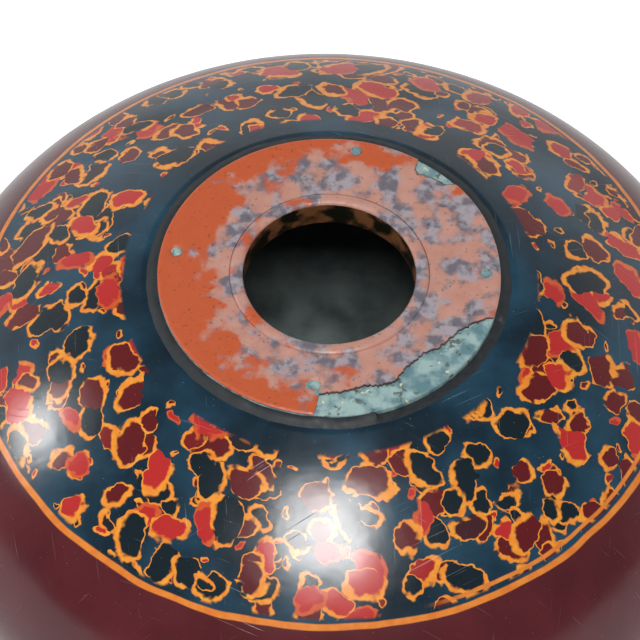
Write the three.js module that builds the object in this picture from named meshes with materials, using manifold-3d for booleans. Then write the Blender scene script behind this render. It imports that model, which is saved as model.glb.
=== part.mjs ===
// A squat round lacquered box with a lift-off domed lid. The crown of the lid has a round hole, and a bronze
// collar lines it: a flat flange with a raised bead round the hole and a short sleeve down through the wood.
// Four pins hold the flange, a coat of red lacquer covers it and has broken away in two places, and a bead of
// black lacquer putty seals its outer edge. The base is a turned bowl with a mouth hoop that centres the lid
// and a foot ring that it stands on.
// Units are millimetres, +Z is up, and the origin is the middle of the foot ring's underside.
import * as THREE from "three";
import { mergeVertices } from "three/addons/utils/BufferGeometryUtils.js";
import Module from "manifold-3d";

const wasm = await Module();
wasm.setup();

// Gaps between pieces
const clearance = 0.3; // glued, pinned and sliding pieces all stand this far apart

// Lid
const crownArc = 108.5; // radius of the low crown, centred on the axis
const lineRadius = 66; // where the crown meets the shoulder, along the orange line
const shoulderArc = 34; // radius of the rounded shoulder
const lidWall = 5;
const lidTopWall = 3.8; // the wood is thinner under the collar
const lidLandHeight = 9; // straight rebate at the lid's mouth
const seatMargin = 2.6; // flat seat left outside the collar

// Base
const bowlArc = 36; // radius of the bowl's side
const bowlWall = 5;
const footHeight = 6;
const footInset = 1.8; // the foot ring's top stands this far inside the bowl's flat bottom
const footFlare = 1.5;
const footWall = 4;
const hoopWall = 2.2;
const hoopDepth = 12; // how far the mouth hoop reaches down into the bowl
const hoopRise = 8; // and up into the lid

// Collar
const collarRadius = 32;
const holeRadius = 16;
const flangeThickness = 1.2;
const flangeEdgeRound = 0.4;
const sleeveWall = 1.4;
const beadWidth = 2.6;
const beadRise = 0.9;
const coatThickness = 0.5;
const puttyWidth = 2;
const puttyHeight = 1.1;

// Pins, each at the angle and the distance in from the flange's edge where it was driven
const pinHeadRadius = 1.25;
const pinHeadHeight = 0.45;
const pinRadius = 0.7;
const pinBite = 2.5; // how far a pin enters the wood
const pinPlaces = [
  { angle: 2, inset: 3 },
  { angle: 81, inset: 2.6 },
  { angle: 171, inset: 3.2 },
  { angle: 265, inset: 6.6 },
];

// Breaks in the red coat, as angle and width of flange laid bare, along each torn edge
const tornEdges = [
  [
    [266, 0], [267, 4.6], [277, 5.2], [285, 5.7], [291, 5], [297, 4.6], [303, 6.1],
    [309, 6.7], [315, 6.9], [321, 5.6], [327, 5.4], [333, 4.6], [338, 3.1], [342, 1.2], [343, 0],
  ],
  [[42, 0], [45, 1.7], [50, 2.3], [56, 3], [58, 2.2], [59, 0]],
];
const puttyBreak = { from: 286, to: 345 };

// Roundness
const bigSides = 64;
const collarSides = 64;
const pinSides = 12;
const arcTolerance = 0.05; // how far a facet of a profile's arc may stand off the true arc

const point = (r, z) => new THREE.Vector2(r, z);
const radians = THREE.MathUtils.degToRad;

// Points of an arc in the plane of a profile, about (r, z), from one angle to another
function arc(r, z, radius, from, to) {
  const step = Math.sqrt((8 * arcTolerance) / radius);
  const steps = Math.max(2, Math.ceil(Math.abs(to - from) / step));
  const points = [];
  for (let i = 0; i <= steps; i++) {
    const angle = from + ((to - from) * i) / steps;
    points.push(point(r + radius * Math.cos(angle), z + radius * Math.sin(angle)));
  }
  return points;
}

// A solid turned about Z from a profile of (radius, height) points
function turned(profile, sides) {
  const open = profile[0].x > 0;
  const points = open ? [...profile, profile[0].clone()] : profile;
  return new THREE.LatheGeometry(points, sides).rotateX(Math.PI / 2);
}

// A flat shape given a height, standing on z = bottom
function raised(shape, bottom, height) {
  const settings = { depth: height, bevelEnabled: false, curveSegments: collarSides };
  return new THREE.ExtrudeGeometry(shape, settings).translate(0, 0, bottom);
}

function solidOf(geometry) {
  const bare = geometry.clone();
  bare.deleteAttribute("normal");
  bare.deleteAttribute("uv");
  const merged = mergeVertices(bare, 1e-4);
  const vertProperties = new Float32Array(merged.attributes.position.array);
  const triVerts = new Uint32Array(merged.index.array);
  return new wasm.Manifold(new wasm.Mesh({ numProp: 3, vertProperties, triVerts }));
}

function geometryOf(solid) {
  const mesh = solid.getMesh();
  const geometry = new THREE.BufferGeometry();
  geometry.setAttribute("position", new THREE.BufferAttribute(mesh.vertProperties, 3));
  geometry.setIndex(new THREE.BufferAttribute(mesh.triVerts, 1));
  geometry.computeVertexNormals();
  return geometry;
}

// A geometry with others cut away from it
function cut(geometry, cutters) {
  let solid = solidOf(geometry);
  for (const cutter of cutters) solid = solid.subtract(solidOf(cutter));
  return geometryOf(solid);
}

// Heights and radii that follow from the sizes above
const lineSlope = Math.asin(lineRadius / crownArc); // the crown's fall at the orange line
const shoulderCentre = lineRadius - shoulderArc * Math.sin(lineSlope);
const rimRadius = shoulderCentre + shoulderArc;
const splitHeight = footHeight + bowlArc;
const lineHeight = splitHeight + shoulderArc * Math.cos(lineSlope);
const crownCentre = lineHeight - crownArc * Math.cos(lineSlope);
const seatRadius = collarRadius + seatMargin;
const seatHeight = crownCentre + Math.sqrt(crownArc ** 2 - seatRadius ** 2);
const ceilingHeight = seatHeight - lidTopWall;
const flangeTop = seatHeight + flangeThickness;
const sleeveRadius = holeRadius + sleeveWall;
const beadRadius = holeRadius + beadWidth;
const lidLandRadius = rimRadius - lidWall;
const bowlLandRadius = rimRadius - bowlWall;
const bowlCentre = rimRadius - bowlArc;
const hoopRadius = Math.min(lidLandRadius, bowlLandRadius) - clearance;
const pinHole = pinRadius + clearance;

// Where a pin stands on the flange
function pinPlace({ angle, inset }) {
  const distance = collarRadius - inset;
  const turn = radians(angle);
  return new THREE.Vector3(distance * Math.cos(turn), distance * Math.sin(turn), flangeTop);
}

// An upright round cutter at each pin, from one height to another
function pinCutters(radius, bottom, top) {
  return pinPlaces.map((place) => {
    const { x, y } = pinPlace(place);
    const cutter = new THREE.CylinderGeometry(radius, radius, top - bottom, pinSides);
    return cutter.rotateX(Math.PI / 2).translate(x, y, (top + bottom) / 2);
  });
}

// Lid: turned wood, a low crown that rolls over a rounded shoulder to the mouth
function lidDome() {
  const innerCrown = crownArc - lidWall;
  const innerShoulder = shoulderArc - lidWall;
  const ceilingAngle = Math.asin((ceilingHeight - crownCentre) / innerCrown);
  const ledgeAngle = Math.asin(lidLandHeight / innerShoulder);
  const lineAngle = Math.PI / 2 - lineSlope;
  const seatAngle = Math.acos(seatRadius / crownArc);
  const throat = sleeveRadius + clearance;
  const profile = [
    point(lidLandRadius, splitHeight),
    ...arc(shoulderCentre, splitHeight, shoulderArc, 0, lineAngle),
    ...arc(0, crownCentre, crownArc, lineAngle, seatAngle).slice(1),
    point(throat, seatHeight),
    point(throat, ceilingHeight),
    ...arc(0, crownCentre, innerCrown, ceilingAngle, lineAngle),
    ...arc(shoulderCentre, splitHeight, innerShoulder, lineAngle, ledgeAngle).slice(1),
    point(lidLandRadius, splitHeight + lidLandHeight),
  ];
  const holeBottom = seatHeight - pinBite - clearance;
  return cut(turned(profile, bigSides), pinCutters(pinHole, holeBottom, seatHeight + 1));
}

// Collar: bronze flange, bead and sleeve in one piece
function collar() {
  const edge = collarRadius - flangeEdgeRound;
  const beadMiddle = holeRadius + beadWidth / 2;
  const beadTop = flangeTop + beadRise;
  const profile = [
    point(holeRadius, ceilingHeight),
    point(sleeveRadius, ceilingHeight),
    point(sleeveRadius, seatHeight),
    point(collarRadius, seatHeight),
    ...arc(edge, flangeTop - flangeEdgeRound, flangeEdgeRound, 0, Math.PI / 2),
    point(beadRadius, flangeTop),
    point(beadRadius - beadWidth * 0.15, flangeTop + beadRise * 0.65),
    point(beadMiddle, beadTop),
    point(holeRadius + beadWidth * 0.15, flangeTop + beadRise * 0.65),
    point(holeRadius, flangeTop),
  ];
  const cutters = pinCutters(pinHole, seatHeight - 1, flangeTop + 1);
  return cut(turned(profile, collarSides), cutters);
}

// Red lacquer coat: the flange's outline with its torn edges, left clear of the bead and of the pins' heads
function collarCoat() {
  const outline = new THREE.Shape();
  const step = 360 / collarSides;
  const points = [];
  for (let i = 0; i < collarSides; i++) {
    const angle = i * step;
    const torn = tornEdges.some((edge) => angle > edge[0][0] - 1 && angle < edge.at(-1)[0] + 1);
    if (!torn) points.push([angle, 0]);
  }
  points.push(...tornEdges.flat());
  points.sort((a, b) => a[0] - b[0]);
  const places = points.map(([angle, bare]) => {
    const turn = radians(angle);
    return point((collarRadius - bare) * Math.cos(turn), (collarRadius - bare) * Math.sin(turn));
  });
  outline.setFromPoints(places);
  const hole = new THREE.Path().absarc(0, 0, beadRadius + clearance, 0, Math.PI * 2, true);
  outline.holes.push(hole);
  const coat = raised(outline, flangeTop, coatThickness);
  const headGap = pinHeadRadius + clearance;
  return cut(coat, pinCutters(headGap, flangeTop - 1, flangeTop + coatThickness + 1));
}

// Putty bead on the seat round the flange's edge, with a stretch broken away
function collarPutty() {
  const inner = collarRadius + clearance;
  const profile = [
    point(inner, seatHeight),
    point(inner + puttyWidth, seatHeight),
    point(inner + puttyWidth * 0.6, seatHeight + puttyHeight * 0.6),
    point(inner, seatHeight + puttyHeight),
  ];
  const reach = collarRadius * 2;
  const wedge = new THREE.Shape();
  wedge.moveTo(0, 0);
  wedge.absarc(0, 0, reach, radians(puttyBreak.from), radians(puttyBreak.to), false);
  return cut(turned(profile, collarSides), [raised(wedge, seatHeight - 1, puttyHeight + 2)]);
}

// Pin: a low domed head and a shank with a short point
function pin() {
  const tip = -(flangeThickness + pinBite);
  const profile = [
    point(0, tip),
    point(pinRadius, tip + pinRadius),
    point(pinRadius, 0),
    point(pinHeadRadius, 0),
    point(pinHeadRadius, pinHeadHeight * 0.4),
    point(pinHeadRadius * 0.6, pinHeadHeight * 0.85),
    point(0, pinHeadHeight),
  ];
  return turned(profile, pinSides);
}

// Base: turned bowl with a flat bottom and a rebate at its mouth for the hoop
function baseBowl() {
  const innerArc = bowlArc - bowlWall;
  const ledgeHeight = splitHeight - hoopDepth;
  const ledgeAngle = -Math.asin(hoopDepth / innerArc);
  const down = -Math.PI / 2;
  const profile = [
    point(0, footHeight),
    ...arc(bowlCentre, splitHeight, bowlArc, down, 0),
    point(bowlLandRadius, splitHeight),
    point(bowlLandRadius, ledgeHeight),
    ...arc(bowlCentre, splitHeight, innerArc, ledgeAngle, down),
    point(0, splitHeight - innerArc),
  ];
  return turned(profile, bigSides);
}

// Mouth hoop: a thin hoop that sits on the bowl's ledge and stands up inside the lid
function mouthHoop() {
  const inner = hoopRadius - hoopWall;
  const bottom = splitHeight - hoopDepth;
  const top = splitHeight + hoopRise;
  const round = hoopWall / 2;
  const profile = [
    point(inner, bottom),
    point(hoopRadius, bottom),
    ...arc(hoopRadius - round, top - round, round, 0, Math.PI / 2),
    ...arc(inner + round, top - round, round, Math.PI / 2, Math.PI).slice(1),
  ];
  return turned(profile, bigSides);
}

// Foot ring: a flared hoop under the bowl's flat bottom
function footRing() {
  const topRadius = bowlCentre - footInset;
  const bottomRadius = topRadius + footFlare;
  const inner = topRadius - footWall;
  const edge = footWall * 0.2;
  const profile = [
    point(inner, 0),
    point(bottomRadius - edge, 0),
    point(bottomRadius, edge),
    point(topRadius, footHeight),
    point(inner, footHeight),
  ];
  return turned(profile, bigSides);
}

const finish = (color, roughness, metalness = 0) =>
  new THREE.MeshStandardMaterial({ color, roughness, metalness });
const blackLacquer = finish(0x1d3440, 0.28);
const redLacquer = finish(0x5b1a20, 0.3);
const collarRed = finish(0x9c5236, 0.5);
const bronze = finish(0x7d968c, 0.65, 0.6);
const putty = finish(0x14181a, 0.7);

function piece(name, geometry, material) {
  const mesh = new THREE.Mesh(geometry, material);
  mesh.name = name;
  return mesh;
}

const base = new THREE.Group();
base.add(piece("base_bowl", baseBowl(), redLacquer));
base.add(piece("base_mouth_hoop", mouthHoop(), blackLacquer));
base.add(piece("base_foot_ring", footRing(), redLacquer));

const lid = new THREE.Group();
lid.add(piece("lid_dome", lidDome(), blackLacquer));
lid.add(piece("collar", collar(), bronze));
lid.add(piece("collar_red_coat", collarCoat(), collarRed));
lid.add(piece("collar_putty", collarPutty(), putty));
pinPlaces.forEach((place, i) => {
  const mesh = piece(`collar_pin_${i + 1}`, pin(), bronze);
  mesh.position.copy(pinPlace(place));
  lid.add(mesh);
});

const box = new THREE.Group();
box.add(base, lid);

export default box;
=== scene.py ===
import random
from math import acos, asin, cos, hypot, pi, radians, sin, sqrt

import bmesh
import bpy
from mathutils import Matrix, Vector, noise


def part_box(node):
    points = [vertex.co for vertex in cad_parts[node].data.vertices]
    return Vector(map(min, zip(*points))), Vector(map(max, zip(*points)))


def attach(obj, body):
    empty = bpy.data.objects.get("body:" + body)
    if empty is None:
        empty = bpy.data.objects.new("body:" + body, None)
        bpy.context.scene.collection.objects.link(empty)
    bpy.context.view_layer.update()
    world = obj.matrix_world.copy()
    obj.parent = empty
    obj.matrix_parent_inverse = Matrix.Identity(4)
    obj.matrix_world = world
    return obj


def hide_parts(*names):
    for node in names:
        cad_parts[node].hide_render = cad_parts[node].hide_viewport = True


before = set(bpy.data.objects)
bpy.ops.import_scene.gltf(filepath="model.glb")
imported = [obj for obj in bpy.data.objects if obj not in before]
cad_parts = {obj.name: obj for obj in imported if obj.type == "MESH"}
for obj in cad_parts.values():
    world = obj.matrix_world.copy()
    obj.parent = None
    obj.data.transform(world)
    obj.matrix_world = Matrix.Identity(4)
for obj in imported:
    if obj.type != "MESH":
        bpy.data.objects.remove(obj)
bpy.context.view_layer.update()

# Camera: a long lens looks down on the lid's crown from the front, close enough that the lid runs off the
# picture at both sides. Its place comes from the ellipses of the collar and the orange line.
PICTURE = 640  # pixels, both ways
collar_low, collar_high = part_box("collar")
coat_low, coat_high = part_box("collar_red_coat")
COLLAR_RADIUS = collar_high[0]
FLANGE_TOP = coat_low[2]
LOOK_DOWN = radians(53.4)
ROLL = radians(1.0)
COLLAR_PIXELS = 172.8  # the collar's radius in the picture
COLLAR_CENTRE = (328.5, 274.7)
COLLAR_RADII_AWAY = 30

collar_centre = Vector((0, 0, FLANGE_TOP))
towards_camera = Vector((0, -cos(LOOK_DOWN), sin(LOOK_DOWN)))
picture_up = Vector((0, sin(LOOK_DOWN), cos(LOOK_DOWN)))
pixel = COLLAR_RADIUS / COLLAR_PIXELS
stand = collar_centre + towards_camera * COLLAR_RADII_AWAY * COLLAR_RADIUS
aim = collar_centre.copy()
aim.x -= (COLLAR_CENTRE[0] - PICTURE / 2) * pixel
aim -= picture_up * (PICTURE / 2 - COLLAR_CENTRE[1]) * pixel
lens = bpy.data.cameras.new("camera")
lens.sensor_width = 36
lens.lens = lens.sensor_width * COLLAR_PIXELS * COLLAR_RADII_AWAY / PICTURE
lens.clip_start = 0.05
lens.clip_end = 20
camera = bpy.data.objects.new("camera", lens)
turn = (aim - stand).to_track_quat("-Z", "Y").to_matrix().to_4x4()
camera.matrix_world = Matrix.Translation(stand) @ turn @ Matrix.Rotation(ROLL, 4, "Z")
bpy.context.collection.objects.link(camera)
bpy.context.scene.camera = camera

# Lid: turned wood under many coats of lacquer. The crown has a blue-black ground with spots rubbed through to
# orange and red layers, an orange line closes it, and a plain dark red shoulder rolls down to the mouth.
MM = 0.001
lid_low, lid_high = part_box("lid_dome")
RIM_RADIUS = lid_high[0]
SPLIT = lid_low[2]
SEAT = lid_high[2]
CEILING = collar_low[2]
CROWN_ARC = 108.5 * MM
LINE_RADIUS = 66 * MM
SHOULDER_ARC = 34 * MM
SEAT_RADIUS = 34.6 * MM
LID_WALL = 5 * MM
LID_LAND = 9 * MM
THROAT = 17.7 * MM
LINE_SLOPE = asin(LINE_RADIUS / CROWN_ARC)
SHOULDER_CENTRE = RIM_RADIUS - SHOULDER_ARC
CROWN_CENTRE = SEAT - sqrt(CROWN_ARC**2 - SEAT_RADIUS**2)
ROUND_SIDES = 256


def arc(r, z, radius, start, end, steps):
    """Points of an arc in the plane of a profile."""
    turns = [start + (end - start) * i / steps for i in range(steps + 1)]
    return [(r + radius * cos(t), z + radius * sin(t)) for t in turns]


def turned(name, profile, sides, finish_of=None, relief=None):
    """A piece turned from its profile, which runs up the outside. Its UV map unrolls it round the axis."""
    bm = bmesh.new()
    sheet = bm.loops.layers.uv.new("unrolled")
    travelled = [profile[0][0]]
    for (r0, z0), (r1, z1) in zip(profile, profile[1:]):
        travelled.append(travelled[-1] + hypot(r1 - r0, z1 - z0))
    rings = []
    for i, (r, z) in enumerate(profile):
        around = range(1) if r < 1e-9 else range(sides)
        ring = []
        for k in around:
            angle = 2 * pi * k / sides
            out, up = relief(i, angle, r, z) if relief else (r, z)
            ring.append(bm.verts.new((out * cos(angle), out * sin(angle), up)))
        rings.append(ring)
    closed = profile[0][0] > 0
    for i in range(len(rings) if closed else len(rings) - 1):
        j = (i + 1) % len(rings)
        for k in range(sides):
            m = (k + 1) % sides
            low, high = rings[i], rings[j]
            corners = [(low, i, k), (low, i, m), (high, j, m), (high, j, k)]
            corners = [(ring[n % len(ring)], ring_index, n) for ring, ring_index, n in corners]
            single = len(low) == 1 or len(high) == 1
            if single:
                corners = corners[:3] if len(high) == 1 else [corners[0]] + corners[2:]
            face = bm.faces.new([corner[0] for corner in corners])
            face.smooth = True
            face.material_index = finish_of(i) if finish_of else 0
            for loop, (vertex, ring_index, n) in zip(face.loops, corners):
                far = travelled[ring_index] * UNROLLED_PER_METRE
                angle = 2 * pi * n / sides
                loop[sheet].uv = (far * cos(angle), far * sin(angle))
    mesh = bpy.data.meshes.new(name)
    bm.to_mesh(mesh)
    bm.free()
    mesh.set_sharp_from_angle(angle=SHARP)
    piece = bpy.data.objects.new(name, mesh)
    bpy.context.collection.objects.link(piece)
    return piece


UNROLLED_PER_METRE = 10
SHARP = radians(38)
line_angle = pi / 2 - LINE_SLOPE
seat_angle = acos(SEAT_RADIUS / CROWN_ARC)
inner_crown = CROWN_ARC - LID_WALL
inner_shoulder = SHOULDER_ARC - LID_WALL
ceiling_angle = asin((CEILING - CROWN_CENTRE) / inner_crown)
ledge_angle = asin(LID_LAND / inner_shoulder)
CROWN_STEPS = 60
lid_top = [(THROAT, SEAT), (SEAT_RADIUS, SEAT)]
lid_top += arc(0, CROWN_CENTRE, CROWN_ARC, seat_angle, line_angle, CROWN_STEPS)[1:]
lid_top += arc(SHOULDER_CENTRE, SPLIT, SHOULDER_ARC, line_angle, 0, CROWN_STEPS)[1:]
lid_inside = [(RIM_RADIUS - LID_WALL, SPLIT), (RIM_RADIUS - LID_WALL, SPLIT + LID_LAND)]
lid_inside += arc(SHOULDER_CENTRE, SPLIT, inner_shoulder, ledge_angle, line_angle, 24)
lid_inside += arc(0, CROWN_CENTRE, inner_crown, line_angle, ceiling_angle, 24)[1:]
lid_inside += [(THROAT, CEILING)]
lid_profile = lid_top + lid_inside


def lid_finish(i):
    return 0 if i < len(lid_top) - 1 else 1


def turned_downwards(name, profile, sides, finish_of=None):
    """The same for a profile that starts at the axis and runs down the outside: its faces are turned over."""
    piece = turned(name, profile, sides, finish_of)
    piece.data.flip_normals()
    return piece


lid = turned_downwards("lid_turned", lid_profile, ROUND_SIDES, lid_finish)
LINE_TRAVEL = SEAT_RADIUS + CROWN_ARC * (seat_angle - line_angle)


def colour(red, green, blue):
    """A colour as the eye matches it, from 0 to 255, made linear."""
    parts = [value / 255 for value in (red, green, blue)]
    return tuple(p / 12.92 if p <= 0.04045 else ((p + 0.055) / 1.055) ** 2.4 for p in parts) + (1.0,)


def feed(tree, socket, value):
    if isinstance(value, bpy.types.NodeSocket):
        tree.links.new(value, socket)
    elif value is not None:
        socket.default_value = value


def sum_of(tree, operation, first, second=None, third=None):
    node = tree.nodes.new("ShaderNodeMath")
    node.operation = operation
    for socket, value in zip(node.inputs, (first, second, third)):
        feed(tree, socket, value)
    return node.outputs[0]


def vector_of(tree, operation, first, second=None):
    node = tree.nodes.new("ShaderNodeVectorMath")
    node.operation = operation
    feed(tree, node.inputs[0], first)
    feed(tree, node.inputs[1], second)
    return node.outputs["Value"] if operation in ("LENGTH", "DISTANCE") else node.outputs["Vector"]


def scaled(tree, vector, factor):
    node = tree.nodes.new("ShaderNodeVectorMath")
    node.operation = "SCALE"
    feed(tree, node.inputs[0], vector)
    feed(tree, node.inputs["Scale"], factor)
    return node.outputs["Vector"]


def ramp(tree, value, low, high):
    """0 below low and 1 above high, or the other way round where low is the larger."""
    node = tree.nodes.new("ShaderNodeMapRange")
    node.interpolation_type = "SMOOTHSTEP"
    feed(tree, node.inputs["Value"], value)
    feed(tree, node.inputs["From Min"], low)
    feed(tree, node.inputs["From Max"], high)
    return node.outputs["Result"]


def over(tree, mask, under, top):
    node = tree.nodes.new("ShaderNodeMix")
    node.data_type = "RGBA"
    feed(tree, node.inputs[0], mask)
    feed(tree, node.inputs[6], under)
    feed(tree, node.inputs[7], top)
    return node.outputs[2]


def clouds(tree, place, scale, detail=3.0, colours=False):
    node = tree.nodes.new("ShaderNodeTexNoise")
    feed(tree, node.inputs["Vector"], place)
    feed(tree, node.inputs["Scale"], scale)
    feed(tree, node.inputs["Detail"], detail)
    return node.outputs["Color" if colours else "Fac"]


def effect(name, inputs, outputs):
    """An empty shader group with number and vector sockets."""
    group = bpy.data.node_groups.new(name, "ShaderNodeTree")
    for socket, kind in inputs.items():
        group.interface.new_socket(socket, in_out="INPUT", socket_type="NodeSocket" + kind)
    for socket in outputs:
        group.interface.new_socket(socket, in_out="OUTPUT", socket_type="NodeSocketFloat")
    return group, group.nodes.new("NodeGroupInput"), group.nodes.new("NodeGroupOutput")


def placed(tree, group, **values):
    node = tree.nodes.new("ShaderNodeGroup")
    node.node_tree = group
    for name, value in values.items():
        feed(tree, node.inputs[name.replace("_", " ")], value)
    return node


def spot_effect():
    """Rubbed-through spots: each cell holds one, turned and drawn out its own way, with an uneven outline."""
    inputs = {"Place": "Vector", "Cell": "Float", "Smallest": "Float", "Largest": "Float",
              "Line": "Float", "Missing": "Float"}
    group, given, out = effect("rubbed spots", inputs, ("Outline", "Inside", "Tint"))
    place = given.outputs["Place"]
    shake = vector_of(group, "SUBTRACT", clouds(group, place, 0.33, 2.0, colours=True), (0.5, 0.5, 0.5))
    place = vector_of(group, "ADD", place, scaled(group, shake, 3.4))
    cells = group.nodes.new("ShaderNodeTexVoronoi")
    cells.voronoi_dimensions = "2D"
    cells.inputs["Randomness"].default_value = 0.9
    feed(group, cells.inputs["Vector"], place)
    feed(group, cells.inputs["Scale"], sum_of(group, "DIVIDE", 1.0, given.outputs["Cell"]))
    chance = group.nodes.new("ShaderNodeSeparateColor")
    feed(group, chance.inputs["Color"], cells.outputs["Color"])
    first, second, third = chance.outputs[0], chance.outputs[1], chance.outputs[2]
    away = vector_of(group, "SUBTRACT", place, cells.outputs["Position"])
    spun = group.nodes.new("ShaderNodeVectorRotate")
    spun.rotation_type = "Z_AXIS"
    feed(group, spun.inputs["Vector"], away)
    feed(group, spun.inputs["Angle"], sum_of(group, "MULTIPLY", first, 2 * pi))
    parts = group.nodes.new("ShaderNodeSeparateXYZ")
    feed(group, parts.inputs[0], spun.outputs["Vector"])
    drawn_out = sum_of(group, "MULTIPLY_ADD", second, 0.9, 1.0)
    along = sum_of(group, "DIVIDE", parts.outputs["X"], drawn_out)
    joined = group.nodes.new("ShaderNodeCombineXYZ")
    feed(group, joined.inputs["X"], along)
    feed(group, joined.inputs["Y"], parts.outputs["Y"])
    distance = vector_of(group, "LENGTH", joined.outputs[0])
    spread = sum_of(group, "SUBTRACT", given.outputs["Largest"], given.outputs["Smallest"])
    reach = sum_of(group, "MULTIPLY_ADD", third, spread, given.outputs["Smallest"])
    side = sum_of(group, "ARCTAN2", parts.outputs["Y"], along)
    swell = sum_of(group, "MULTIPLY_ADD", sum_of(group, "SINE", side), 0.45, 0.75)
    thickness = sum_of(group, "MULTIPLY", swell, given.outputs["Line"])
    off = sum_of(group, "ABSOLUTE", sum_of(group, "SUBTRACT", distance, reach))
    edge = sum_of(group, "MULTIPLY", thickness, 0.35)
    there = sum_of(group, "GREATER_THAN", sum_of(group, "FRACT", sum_of(group, "MULTIPLY", first, 7.3)),
                   given.outputs["Missing"])
    outline = sum_of(group, "MULTIPLY", ramp(group, off, thickness, edge), there)
    inside = sum_of(group, "MULTIPLY", sum_of(group, "LESS_THAN", distance, reach), there)
    feed(group, out.inputs["Outline"], outline)
    feed(group, out.inputs["Inside"], inside)
    feed(group, out.inputs["Tint"], sum_of(group, "FRACT", sum_of(group, "MULTIPLY", second, 5.1)))
    return group


def scratch_effect():
    """Fine handling scratches and pale specks in a lacquer, on millimetre places."""
    group, given, out = effect("handling marks", {"Place": "Vector"}, ("Scratches", "Specks"))
    marks = None
    for tilt in (0.4, 1.5, 2.6):
        spun = group.nodes.new("ShaderNodeVectorRotate")
        spun.rotation_type = "Z_AXIS"
        feed(group, spun.inputs["Vector"], given.outputs["Place"])
        spun.inputs["Angle"].default_value = tilt
        drawn = vector_of(group, "MULTIPLY", spun.outputs["Vector"], (0.05, 2.2, 0.4))
        mark = ramp(group, clouds(group, drawn, 1.0, 2.0), 0.70, 0.76)
        marks = mark if marks is None else sum_of(group, "MAXIMUM", marks, mark)
    specks = ramp(group, clouds(group, given.outputs["Place"], 2.6, 2.0), 0.72, 0.78)
    feed(group, out.inputs["Scratches"], marks)
    feed(group, out.inputs["Specks"], specks)
    return group


rubbed_spots = spot_effect()
handling_marks = scratch_effect()


def material(name):
    made = bpy.data.materials.new(name)
    made.use_nodes = True
    return made, made.node_tree, made.node_tree.nodes["Principled BSDF"]


def millimetres(tree, socket="Object"):
    coordinates = tree.nodes.new("ShaderNodeTexCoord")
    return scaled(tree, coordinates.outputs[socket], 1 / MM)


def bumped(tree, shader, height, strength, distance):
    node = tree.nodes.new("ShaderNodeBump")
    node.inputs["Strength"].default_value = strength
    node.inputs["Distance"].default_value = distance
    feed(tree, node.inputs["Height"], height)
    feed(tree, shader.inputs["Normal"], node.outputs["Normal"])


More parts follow.
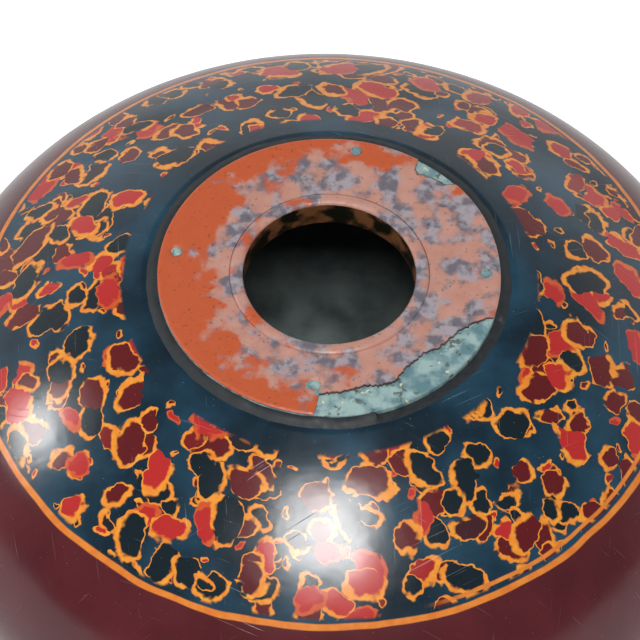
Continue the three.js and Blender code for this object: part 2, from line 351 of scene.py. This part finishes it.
def spotted_lacquer():
    made, tree, shader = material("spotted lacquer")
    unrolled = tree.nodes.new("ShaderNodeUVMap")
    unrolled.uv_map = "unrolled"
    place = scaled(tree, unrolled.outputs["UV"], 1 / MM / UNROLLED_PER_METRE)
    far = vector_of(tree, "LENGTH", place)
    waver = sum_of(tree, "MULTIPLY_ADD", clouds(tree, place, 0.06, 2.0), 1.6, -0.8)
    far = sum_of(tree, "ADD", far, waver)
    ground = over(tree, ramp(tree, clouds(tree, place, 0.05, 4.0), 0.35, 0.7),
                  colour(10, 30, 42), colour(30, 66, 86))
    paint = ground
    layers = (  # how far the layer is moved, cell, smallest, largest, line, missing
        ((31.0, 12.0, 0.0), 4.6, 0.35, 0.85, 0.30, 0.55),
        ((-57.0, 40.0, 0.0), 8.2, 1.5, 2.8, 0.55, 0.30),
        ((90.0, -71.0, 0.0), 7.4, 1.3, 2.6, 0.50, 0.36),
        ((-13.0, -140.0, 0.0), 9.4, 1.9, 3.1, 0.62, 0.34),
    )
    field = sum_of(tree, "MULTIPLY", ramp(tree, far, 38.6, 39.6),
                   ramp(tree, far, LINE_TRAVEL / MM - 1.0, LINE_TRAVEL / MM - 1.8))
    for shift, cell, smallest, largest, line, missing in layers:
        spots = placed(tree, rubbed_spots, Place=vector_of(tree, "ADD", place, shift), Cell=cell,
                       Smallest=smallest, Largest=largest, Line=line, Missing=missing)
        tint = spots.outputs["Tint"]
        deep = over(tree, ramp(tree, tint, 0.30, 0.36), colour(14, 30, 38), colour(92, 22, 26))
        fill = over(tree, ramp(tree, tint, 0.66, 0.72), deep, colour(176, 40, 38))
        rim = over(tree, clouds(tree, place, 0.5, 2.0), colour(214, 96, 26), colour(240, 172, 62))
        plain = sum_of(tree, "MULTIPLY", ramp(tree, tint, 0.86, 0.90), 0.75)
        rim = over(tree, plain, rim, colour(184, 48, 36))
        worn = ramp(tree, clouds(tree, vector_of(tree, "ADD", place, shift), 0.24, 2.0), 0.36, 0.44)
        inside = sum_of(tree, "MULTIPLY", spots.outputs["Inside"], field)
        outline = sum_of(tree, "MULTIPLY", sum_of(tree, "MULTIPLY", spots.outputs["Outline"], worn), field)
        paint = over(tree, inside, paint, fill)
        paint = over(tree, outline, paint, rim)
    line_place = LINE_TRAVEL / MM
    gap = sum_of(tree, "ABSOLUTE", sum_of(tree, "SUBTRACT", far, line_place))
    ring = ramp(tree, gap, 0.75, 0.45)
    second_gap = sum_of(tree, "ABSOLUTE", sum_of(tree, "SUBTRACT", far, line_place - 2.1))
    corner = vector_of(tree, "DISTANCE", place, (48.0, -48.0, 0.0))
    second_ring = sum_of(tree, "MULTIPLY", ramp(tree, second_gap, 0.5, 0.25), ramp(tree, corner, 34.0, 24.0))
    ring = sum_of(tree, "MAXIMUM", ring, second_ring)
    red = over(tree, clouds(tree, place, 0.08, 4.0), colour(62, 20, 26), colour(98, 36, 42))
    paint = over(tree, ramp(tree, far, line_place - 0.1, line_place + 0.1), paint, red)
    paint = over(tree, ring, paint, over(tree, clouds(tree, place, 0.4), colour(196, 88, 30),
                                         colour(232, 150, 62)))
    marks = placed(tree, handling_marks, Place=place)
    paint = over(tree, sum_of(tree, "MULTIPLY", marks.outputs["Scratches"], 0.10), paint,
                 colour(190, 200, 205))
    paint = over(tree, sum_of(tree, "MULTIPLY", marks.outputs["Specks"], 0.55), paint, colour(176, 176, 166))
    feed(tree, shader.inputs["Base Color"], paint)
    rough = sum_of(tree, "MULTIPLY_ADD", clouds(tree, place, 0.12, 4.0), 0.16, 0.12)
    rough = sum_of(tree, "MULTIPLY_ADD", marks.outputs["Scratches"], 0.2, rough)
    feed(tree, shader.inputs["Roughness"], rough)
    bumped(tree, shader, sum_of(tree, "ADD", clouds(tree, place, 0.10, 3.0),
                                sum_of(tree, "MULTIPLY", marks.outputs["Scratches"], -0.1)), 0.25, 0.0004)
    return made


def dusty_black_lacquer():
    made, tree, shader = material("dusty black lacquer")
    place = millimetres(tree)
    dust = ramp(tree, clouds(tree, place, 0.12, 5.0), 0.35, 0.7)
    feed(tree, shader.inputs["Base Color"], over(tree, dust, colour(16, 20, 24), colour(44, 50, 50)))
    feed(tree, shader.inputs["Roughness"], sum_of(tree, "MULTIPLY_ADD", dust, 0.35, 0.3))
    bumped(tree, shader, clouds(tree, place, 0.5, 4.0), 0.3, 0.0002)
    return made


lid.data.materials.append(spotted_lacquer())
black_lacquer = dusty_black_lacquer()
lid.data.materials.append(black_lacquer)
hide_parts("lid_dome")
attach(lid, "lid")

# Collar: one bronze casting, a flat flange, a raised bead round the hole and a short sleeve through the wood.
# It is hand-made, so its outline wavers. The metal has gone a pale blue-green, and the bead keeps some red.
HOLE_RADIUS = 16 * MM
SLEEVE_RADIUS = 17.4 * MM
BEAD_WIDTH = 2.6 * MM
BEAD_RISE = collar_high[2] - FLANGE_TOP
EDGE_ROUND = 0.4 * MM
EDGE_WAVER = 0.3 * MM
COLLAR_SIDES = 360
bead_middle = HOLE_RADIUS + BEAD_WIDTH / 2


def waver(angle):
    """How far the hand-cut edge stands inside a true circle there."""
    return EDGE_WAVER * (0.5 + 0.5 * noise.noise(Vector((cos(angle) * 1.7, sin(angle) * 1.7, 4.0))))


def collar_relief(i, angle, r, z):
    share = max(0.0, (r - SLEEVE_RADIUS) / (COLLAR_RADIUS - SLEEVE_RADIUS))
    return r - waver(angle) * share, z


bead = [(bead_middle + BEAD_WIDTH / 2 * cos(t), FLANGE_TOP + BEAD_RISE * sin(t) ** 0.8)
        for t in (pi * i / 14 for i in range(1, 14))]
sleeve_part = [(HOLE_RADIUS, CEILING), (SLEEVE_RADIUS, CEILING), (SLEEVE_RADIUS, SEAT)]
flange_part = [(COLLAR_RADIUS, SEAT)]
flange_part += arc(COLLAR_RADIUS - EDGE_ROUND, FLANGE_TOP - EDGE_ROUND, EDGE_ROUND, 0, pi / 2, 5)
flange_part += [(HOLE_RADIUS + BEAD_WIDTH + 0.1 * MM, FLANGE_TOP)]
collar_profile = sleeve_part + flange_part + bead + [(HOLE_RADIUS, FLANGE_TOP)]
bead_from = len(sleeve_part + flange_part) - 1


def collar_finish(i):
    if bead_from <= i < bead_from + len(bead):
        return 1
    return 2 if i >= bead_from + len(bead) else 0


collar = turned("collar_casting", collar_profile, COLLAR_SIDES, collar_finish, collar_relief)


def green_bronze():
    made, tree, shader = material("green bronze")
    place = millimetres(tree)
    pale = over(tree, ramp(tree, clouds(tree, place, 0.35, 5.0), 0.35, 0.65),
                colour(88, 122, 130), colour(146, 172, 170))
    brown = ramp(tree, clouds(tree, vector_of(tree, "ADD", place, (7.0, 3.0, 0.0)), 0.8, 4.0), 0.58, 0.68)
    flakes = ramp(tree, clouds(tree, vector_of(tree, "ADD", place, (0.0, 19.0, 0.0)), 0.6, 3.0), 0.66, 0.70)
    pale = over(tree, sum_of(tree, "MULTIPLY", brown, 0.6), pale, colour(84, 74, 62))
    feed(tree, shader.inputs["Base Color"], over(tree, flakes, pale, colour(206, 200, 160)))
    feed(tree, shader.inputs["Metallic"], sum_of(tree, "MULTIPLY", brown, 0.5))
    feed(tree, shader.inputs["Roughness"], sum_of(tree, "MULTIPLY_ADD", brown, -0.15, 0.62))
    bumped(tree, shader, clouds(tree, place, 1.2, 5.0), 0.6, 0.0002)
    return made


def worn_red(name, bare, orange, low, high):
    """Red lacquer over metal, rubbed pinkish and filled with blue-grey grime."""
    made, tree, shader = material(name)
    place = millimetres(tree)
    parts = tree.nodes.new("ShaderNodeSeparateXYZ")
    feed(tree, parts.inputs[0], place)
    flat = vector_of(tree, "MULTIPLY", place, (1.0, 1.0, 0.0))
    outwards = sum_of(tree, "DIVIDE", vector_of(tree, "LENGTH", flat), COLLAR_RADIUS / MM)
    leftwards = sum_of(tree, "MULTIPLY", parts.outputs["X"], -0.006)
    red_there = sum_of(tree, "ADD", clouds(tree, place, 0.16, 5.0), leftwards)
    red_there = sum_of(tree, "ADD", red_there, sum_of(tree, "MULTIPLY_ADD", outwards, orange, -orange * 0.8))
    grime = over(tree, ramp(tree, clouds(tree, place, 0.5, 4.0), 0.4, 0.62),
                 colour(104, 98, 108), colour(156, 148, 154))
    pink = over(tree, clouds(tree, place, 0.3, 4.0), colour(172, 112, 92), colour(192, 150, 138))
    base = over(tree, ramp(tree, clouds(tree, place, 0.22, 4.0), 0.42, 0.58), grime, pink)
    base = over(tree, ramp(tree, red_there, low, high), base, colour(184, 84, 46))
    spots = ramp(tree, clouds(tree, place, 1.4, 3.0), 0.64, 0.70)
    base = over(tree, sum_of(tree, "MULTIPLY", spots, 0.55), base, colour(62, 48, 50))
    for x, y, size in bare:
        gone = vector_of(tree, "DISTANCE", flat, (x, y, 0.0))
        ragged = sum_of(tree, "MULTIPLY_ADD", clouds(tree, place, 1.1, 3.0), 1.6, -0.8)
        gone = sum_of(tree, "ADD", gone, ragged)
        base = over(tree, ramp(tree, gone, size, size * 0.8), base, colour(112, 146, 146))
    # Painted shadow: the coat turns dark brown within 0.35 mm of a torn edge, as if shaded by the broken
    # skin.
    margin = tree.nodes.new("ShaderNodeAttribute")
    margin.attribute_name = "margin"
    torn_edge_shadow = ramp(tree, margin.outputs["Fac"], 0.35, 0.05)
    base = over(tree, sum_of(tree, "MULTIPLY", torn_edge_shadow, 0.85 if bare else 0.0), base, colour(52, 30, 26))
    feed(tree, shader.inputs["Base Color"], base)
    feed(tree, shader.inputs["Roughness"], sum_of(tree, "MULTIPLY_ADD", clouds(tree, place, 0.4), 0.3, 0.26))
    bumped(tree, shader, clouds(tree, place, 0.9, 5.0), 0.45, 0.0003)
    return made


def hole_wall():
    made, tree, shader = material("hole wall bronze")
    place = millimetres(tree)
    worn = ramp(tree, clouds(tree, place, 0.3, 4.0), 0.4, 0.62)
    feed(tree, shader.inputs["Base Color"], over(tree, worn, colour(58, 56, 44), colour(132, 84, 50)))
    feed(tree, shader.inputs["Metallic"], sum_of(tree, "MULTIPLY_ADD", worn, -0.5, 0.8))
    feed(tree, shader.inputs["Roughness"], sum_of(tree, "MULTIPLY_ADD", worn, 0.2, 0.36))
    bumped(tree, shader, clouds(tree, place, 0.8, 4.0), 0.4, 0.0002)
    return made


bronze = green_bronze()
collar.data.materials.append(bronze)
collar.data.materials.append(worn_red("worn red bead", (), 0.2, 0.52, 0.64))
collar.data.materials.append(hole_wall())
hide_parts("collar")
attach(collar, "lid")

# Red coat: a brittle skin of lacquer on the flange, half a millimetre thick. It has cracked off in a long
# bite at the lower right and a short one at the upper right, and it dips where the pins are driven.
COAT = coat_high[2] - FLANGE_TOP
COAT_STEPS = 40
COAT_SIDES = 480
SKIN_GAP = 0.02 * MM  # keeps touching surfaces apart
REST_GAP = 0.01 * MM
DIP = 1.5 * MM  # radius of the dip round a pin, and of its floor
DIP_FLOOR = 1.1 * MM
TORN_JAG = 0.22 * MM
EDGE_EASE = 0.5 * MM
COAT_SEED = 7
UNTORN = 9.0  # margin in millimetres given where no edge is torn
BARE_CHIPS = ((-3.1, -25.4, 0.9), (-1.6, -27.1, 0.7))  # x, y and radius in millimetres
TEARS = (  # angle in degrees and millimetres of flange laid bare
    ((266, 0), (267, 4.6), (277, 5.2), (285, 5.7), (291, 5), (297, 4.6), (303, 6.1), (309, 6.7),
     (315, 6.9), (321, 5.6), (327, 5.4), (333, 4.6), (338, 3.1), (342, 1.2), (343, 0)),
    ((42, 0), (45, 1.7), (50, 2.3), (56, 3), (58, 2.2), (59, 0)),
)
pin_nodes = [f"collar_pin_{i}" for i in range(1, 5)]
pin_places = []
for node in pin_nodes:
    low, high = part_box(node)
    pin_places.append(Vector(((low[0] + high[0]) / 2, (low[1] + high[1]) / 2, 0)))
jags = random.Random(COAT_SEED)


def laid_bare(degrees):
    for tear in TEARS:
        for (a0, b0), (a1, b1) in zip(tear, tear[1:]):
            if a0 <= degrees <= a1:
                return (b0 + (b1 - b0) * (degrees - a0) / (a1 - a0)) * MM
    return 0.0


def coat_skin():
    """The coat on a polar grid. Its margin attribute is the distance to a torn edge in millimetres."""
    inner = HOLE_RADIUS + BEAD_WIDTH + SKIN_GAP
    bm = bmesh.new()
    margin = bm.verts.layers.float.new("margin")
    tops, feet = [], []
    for k in range(COAT_SIDES):
        angle = 2 * pi * k / COAT_SIDES
        bare = laid_bare(360 * k / COAT_SIDES)
        jag = jags.uniform(-TORN_JAG, TORN_JAG) if bare else 0.0
        outer = COLLAR_RADIUS - waver(angle) - SKIN_GAP - max(0.0, bare + jag)
        column, foot = [], []
        for i in range(COAT_STEPS + 1):
            r = inner + (outer - inner) * i / COAT_STEPS
            place = Vector((r * cos(angle), r * sin(angle), 0))
            to_edge = outer - r
            height = COAT * (0.86 + 0.14 * noise.noise(place / MM * 0.35))
            edge_fall = 0.0 if bare else max(0.0, 1 - to_edge / EDGE_EASE) ** 2 * 0.6
            height *= 1 - edge_fall
            nearest = min((place - pin).length for pin in pin_places)
            up_the_dip = (nearest - DIP_FLOOR) / (DIP - DIP_FLOOR)
            height *= 0.25 + 0.75 * min(1.0, max(0.0, up_the_dip))
            vertex = bm.verts.new((place.x, place.y, FLANGE_TOP + height))
            vertex[margin] = to_edge / MM if bare else UNTORN
            column.append(vertex)
        for r in (inner, outer):
            low_vertex = bm.verts.new((r * cos(angle), r * sin(angle), FLANGE_TOP + REST_GAP))
            low_vertex[margin] = 0.0 if bare else UNTORN
            foot.append(low_vertex)
        tops.append(column)
        feet.append(foot)
    for k in range(COAT_SIDES):
        m = (k + 1) % COAT_SIDES
        for i in range(COAT_STEPS):
            bm.faces.new((tops[k][i], tops[k][i + 1], tops[m][i + 1], tops[m][i]))
        bm.faces.new((feet[k][1], feet[m][1], tops[m][-1], tops[k][-1]))
        bm.faces.new((feet[m][0], feet[k][0], tops[k][0], tops[m][0]))
        bm.faces.new((feet[k][0], feet[m][0], feet[m][1], feet[k][1]))
    for face in bm.faces:
        face.smooth = True
    mesh = bpy.data.meshes.new("collar_coat_skin")
    bm.to_mesh(mesh)
    bm.free()
    mesh.set_sharp_from_angle(angle=SHARP)
    piece = bpy.data.objects.new("collar_coat_skin", mesh)
    bpy.context.collection.objects.link(piece)
    return piece


coat = coat_skin()
coat.data.materials.append(worn_red("worn red coat", BARE_CHIPS, 0.9, 0.5, 0.62))
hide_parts("collar_red_coat")
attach(coat, "lid")

# Putty: a bead of black lacquer putty that closed the joint between the flange's edge and the crown. It has
# shrunk, gathered grime and fallen away along the lower right.
putty_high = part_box("collar_putty")[1]
PUTTY_INNER = COLLAR_RADIUS + SKIN_GAP
PUTTY_WIDTH = putty_high[0] - PUTTY_INNER
PUTTY_HEIGHT = putty_high[2] - SEAT
PUTTY_GONE = (286, 345)  # degrees round the collar
PUTTY_STUMP = 0.12  # share of its height that is left there


def putty_relief(i, angle, r, z):
    degrees = (angle * 180 / pi) % 360
    left = PUTTY_STUMP if PUTTY_GONE[0] < degrees < PUTTY_GONE[1] else 1.0
    lump = 0.75 + 0.25 * noise.noise(Vector((cos(angle) * 9, sin(angle) * 9, r * 400)))
    inside = COLLAR_RADIUS - waver(angle)
    out = inside + (r - COLLAR_RADIUS) * (0.55 + 0.45 * lump)
    return out, SEAT + (z - SEAT) * left * lump


putty_profile = [(PUTTY_INNER, SEAT + REST_GAP), (PUTTY_INNER + PUTTY_WIDTH, SEAT + REST_GAP)]
putty_profile += [(PUTTY_INNER + PUTTY_WIDTH * (1 - t), SEAT + PUTTY_HEIGHT * sin(t * pi / 2))
                  for t in (0.2, 0.4, 0.6, 0.8, 1.0)]
putty = turned("collar_putty_bead", putty_profile, COLLAR_SIDES, None, putty_relief)


def grimy_putty():
    made, tree, shader = material("grimy putty")
    place = millimetres(tree)
    dirt = clouds(tree, place, 0.7, 4.0)
    feed(tree, shader.inputs["Base Color"], over(tree, dirt, colour(8, 14, 18), colour(40, 46, 50)))
    feed(tree, shader.inputs["Roughness"], sum_of(tree, "MULTIPLY_ADD", dirt, 0.4, 0.4))
    bumped(tree, shader, dirt, 0.6, 0.0002)
    return made


putty.data.materials.append(grimy_putty())
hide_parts("collar_putty")
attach(putty, "lid")

# Pins: four small bronze nails with low domed heads, driven through the flange into the wood. The heads have
# the same pale green as the bare metal.
PIN_HEAD = 1.05 * MM
PIN_RISE = 0.62 * MM
head_profile = [(0, 0), (PIN_HEAD * 0.9, 0)]
head_profile += [(PIN_HEAD * cos(t), PIN_RISE * (0.25 + 0.75 * sin(t))) for t in (0.1, 0.4, 0.7, 1.0, 1.3)]
head_profile += [(0, PIN_RISE)]
head = turned("pin_head", head_profile, 24)
places = bpy.data.meshes.new("pin_places")
places.from_pydata([(p.x, p.y, FLANGE_TOP + REST_GAP) for p in pin_places], [], [])
pins = bpy.data.objects.new("collar_pins", places)
bpy.context.collection.objects.link(pins)


def driven_pins():
    tree = bpy.data.node_groups.new("driven pins", "GeometryNodeTree")
    tree.interface.new_socket("Places", in_out="INPUT", socket_type="NodeSocketGeometry")
    tree.interface.new_socket("Head", in_out="INPUT", socket_type="NodeSocketObject")
    tree.interface.new_socket("Finish", in_out="INPUT", socket_type="NodeSocketMaterial")
    tree.interface.new_socket("Pins", in_out="OUTPUT", socket_type="NodeSocketGeometry")
    given = tree.nodes.new("NodeGroupInput")
    out = tree.nodes.new("NodeGroupOutput")
    source = tree.nodes.new("GeometryNodeObjectInfo")
    put = tree.nodes.new("GeometryNodeInstanceOnPoints")
    real = tree.nodes.new("GeometryNodeRealizeInstances")
    finish = tree.nodes.new("GeometryNodeSetMaterial")
    feed(tree, source.inputs["Object"], given.outputs["Head"])
    feed(tree, put.inputs["Points"], given.outputs["Places"])
    feed(tree, put.inputs["Instance"], source.outputs["Geometry"])
    feed(tree, real.inputs["Geometry"], put.outputs["Instances"])
    feed(tree, finish.inputs["Geometry"], real.outputs["Geometry"])
    feed(tree, finish.inputs["Material"], given.outputs["Finish"])
    feed(tree, out.inputs["Pins"], finish.outputs["Geometry"])
    return tree


pin_tree = driven_pins()
driving = pins.modifiers.new("driven pins", "NODES")
driving.node_group = pin_tree
sockets = {item.name: item.identifier for item in pin_tree.interface.items_tree}
driving[sockets["Head"]] = head
driving[sockets["Finish"]] = bronze
graph = bpy.context.evaluated_depsgraph_get()
pin_mesh = bpy.data.meshes.new_from_object(pins.evaluated_get(graph))
pins.modifiers.clear()
pins.data = pin_mesh
bpy.data.objects.remove(head)
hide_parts(*pin_nodes)
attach(pins, "lid")

# Base: a bowl turned like the lid, dark red outside and dusty black inside, with a flat bottom. The lid
# closes on its rim.
FOOT_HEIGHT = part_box("base_bowl")[0][2]
BOWL_ARC = SPLIT - FOOT_HEIGHT
BOWL_WALL = 5 * MM
HOOP_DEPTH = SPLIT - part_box("base_mouth_hoop")[0][2]
bowl_centre = RIM_RADIUS - BOWL_ARC
inner_bowl = BOWL_ARC - BOWL_WALL
bowl_outside = [(0, FOOT_HEIGHT)] + arc(bowl_centre, SPLIT, BOWL_ARC, -pi / 2, 0, 48)
bowl_inside = [(RIM_RADIUS - BOWL_WALL, SPLIT), (RIM_RADIUS - BOWL_WALL, SPLIT - HOOP_DEPTH)]
bowl_inside += arc(bowl_centre, SPLIT, inner_bowl, -asin(HOOP_DEPTH / inner_bowl), -pi / 2, 32)
bowl_inside += [(0, SPLIT - inner_bowl)]


def bowl_finish(i):
    return 0 if i < len(bowl_outside) - 1 else 1


def red_lacquer_finish():
    made, tree, shader = material("dark red lacquer")
    place = millimetres(tree)
    red = over(tree, clouds(tree, place, 0.08, 4.0), colour(62, 20, 26), colour(98, 36, 42))
    marks = placed(tree, handling_marks, Place=place)
    red = over(tree, sum_of(tree, "MULTIPLY", marks.outputs["Scratches"], 0.12), red, colour(170, 120, 110))
    red = over(tree, sum_of(tree, "MULTIPLY", marks.outputs["Specks"], 0.4), red, colour(20, 10, 12))
    feed(tree, shader.inputs["Base Color"], red)
    rough = sum_of(tree, "MULTIPLY_ADD", clouds(tree, place, 0.12), 0.18, 0.12)
    feed(tree, shader.inputs["Roughness"], rough)
    bumped(tree, shader, clouds(tree, place, 0.10, 3.0), 0.25, 0.0004)
    return made


def dusty_floor_finish():
    made, tree, shader = material("dusty bowl lacquer")
    place = millimetres(tree)
    dust = ramp(tree, clouds(tree, place, 0.09, 5.0), 0.3, 0.7)
    feed(tree, shader.inputs["Base Color"], over(tree, dust, colour(60, 70, 70), colour(112, 124, 122)))
    feed(tree, shader.inputs["Roughness"], sum_of(tree, "MULTIPLY_ADD", dust, 0.25, 0.5))
    bumped(tree, shader, clouds(tree, place, 0.6, 4.0), 0.3, 0.0002)
    return made


red_lacquer = red_lacquer_finish()
bowl = turned("base_bowl_turned", bowl_outside + bowl_inside, ROUND_SIDES, bowl_finish)
bowl.data.materials.append(red_lacquer)
bowl.data.materials.append(dusty_floor_finish())
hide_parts("base_bowl")
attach(bowl, "base")

# Mouth hoop: a thin bent or turned hoop glued on the ledge inside the bowl's rim. It stands up into the lid
# and keeps it centred.
hoop_low, hoop_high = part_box("base_mouth_hoop")
HOOP_WALL = 2.2 * MM
hoop_outer = hoop_high[0]
hoop_inner = hoop_outer - HOOP_WALL
hoop_round = HOOP_WALL / 2
hoop_profile = [(hoop_inner, hoop_low[2]), (hoop_outer, hoop_low[2])]
hoop_profile += arc(hoop_outer - hoop_round, hoop_high[2] - hoop_round, hoop_round, 0, pi, 16)
hoop = turned("base_mouth_hoop_turned", hoop_profile, ROUND_SIDES)
hoop.data.materials.append(black_lacquer)
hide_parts("base_mouth_hoop")
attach(hoop, "base")

# Foot ring: a low flared hoop under the bowl, in the same red. Its lower edge is eased where it meets the
# table.
FOOT_FLARE = 1.5 * MM
FOOT_WALL = 4 * MM
FOOT_EASE = 0.8 * MM
foot_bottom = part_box("base_foot_ring")[1][0]
foot_top = foot_bottom - FOOT_FLARE
foot_inner = foot_top - FOOT_WALL
foot_profile = [(foot_inner, 0), (foot_bottom - FOOT_EASE, 0)]
foot_profile += arc(foot_bottom - FOOT_EASE, FOOT_EASE, FOOT_EASE, -pi / 2, 0, 6)[1:]
foot_profile += [(foot_top, FOOT_HEIGHT), (foot_inner, FOOT_HEIGHT)]
foot = turned("base_foot_ring_turned", foot_profile, ROUND_SIDES)
foot.data.materials.append(red_lacquer)
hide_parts("base_foot_ring")
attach(foot, "base")

# Studio: a pale floor that goes to white for the camera and keeps the box's shadow, one soft key from above
# the front and a small soft light low at the left, whose reflection sits on the lid's left shoulder.
FLOOR_SIZE = 6
FLOOR_DROP = 0.0002
FLOOR_GLOW = 0.4  # lifts the floor to white for the camera alone
WHITE = (1, 1, 1, 1)
KEY_HEIGHT = radians(65)
KEY_AWAY = 1.5
KEY_SIZE = 0.45
KEY_WATTS = 17
LEFT_DIRECTION = Vector((-0.862, 0.149, 0.487))
LEFT_AWAY = 1.2
LEFT_SIZE = 0.22
LEFT_WATTS = 3.2
AIR_LIGHT = 0.34  # how strongly the air round the box lights it
MIRRORED_DARK = 0.15  # what the lacquer mirrors overhead, and how much more it mirrors behind the box
MIRRORED_BRIGHTER = 0.85
bpy.ops.mesh.primitive_plane_add(size=FLOOR_SIZE, location=(0, 0, -FLOOR_DROP))
floor = bpy.context.active_object
floor.name = "studio_floor"


def ray_masks(tree):
    """Two masks: what the camera sees, straight or through something, and what a surface mirrors."""
    path = tree.nodes.new("ShaderNodeLightPath")
    seen = sum_of(tree, "MAXIMUM", path.outputs["Is Camera Ray"], path.outputs["Is Transmission Ray"])
    return seen, path.outputs["Is Glossy Ray"]


def floor_finish():
    made, tree, shader = material("studio floor")
    seen = ray_masks(tree)[0]
    shader.inputs["Base Color"].default_value = (0.86, 0.86, 0.86, 1)
    shader.inputs["Roughness"].default_value = 0.9
    shader.inputs["Emission Color"].default_value = WHITE
    feed(tree, shader.inputs["Emission Strength"], sum_of(tree, "MULTIPLY", seen, FLOOR_GLOW))
    return made


floor.data.materials.append(floor_finish())


def soft_light(name, direction, away, size, watts):
    lamp = bpy.data.lights.new(name, "AREA")
    lamp.size = size
    lamp.energy = watts
    light = bpy.data.objects.new(name, lamp)
    place = collar_centre + direction.normalized() * away
    facing = (collar_centre - place).to_track_quat("-Z", "Y").to_matrix().to_4x4()
    light.matrix_world = Matrix.Translation(place) @ facing
    bpy.context.collection.objects.link(light)


key_direction = Vector((0, -cos(KEY_HEIGHT), sin(KEY_HEIGHT)))
soft_light("key", key_direction, KEY_AWAY, KEY_SIZE, KEY_WATTS)
soft_light("left", LEFT_DIRECTION, LEFT_AWAY, LEFT_SIZE, LEFT_WATTS)
world = bpy.data.worlds.new("studio air")
bpy.context.scene.world = world
world.use_nodes = True
air = world.node_tree
background = air.nodes["Background"]
seen, mirrored = ray_masks(air)
direction = air.nodes.new("ShaderNodeTexCoord")
parts = air.nodes.new("ShaderNodeSeparateXYZ")
feed(air, parts.inputs[0], direction.outputs["Generated"])
horizon = ramp(air, parts.outputs["Z"], 0.75, 0.15)
far_side = ramp(air, parts.outputs["Y"], -0.3, 0.6)
behind = sum_of(air, "MULTIPLY", horizon, far_side)
reflected = sum_of(air, "MULTIPLY_ADD", behind, MIRRORED_BRIGHTER, MIRRORED_DARK)
brighter = sum_of(air, "SUBTRACT", reflected, AIR_LIGHT)
strength = sum_of(air, "MULTIPLY_ADD", mirrored, brighter, AIR_LIGHT)
strength = sum_of(air, "MAXIMUM", strength, seen)
feed(air, background.inputs["Color"], WHITE)
feed(air, background.inputs["Strength"], strength)
bpy.context.scene.view_settings.view_transform = "Standard"
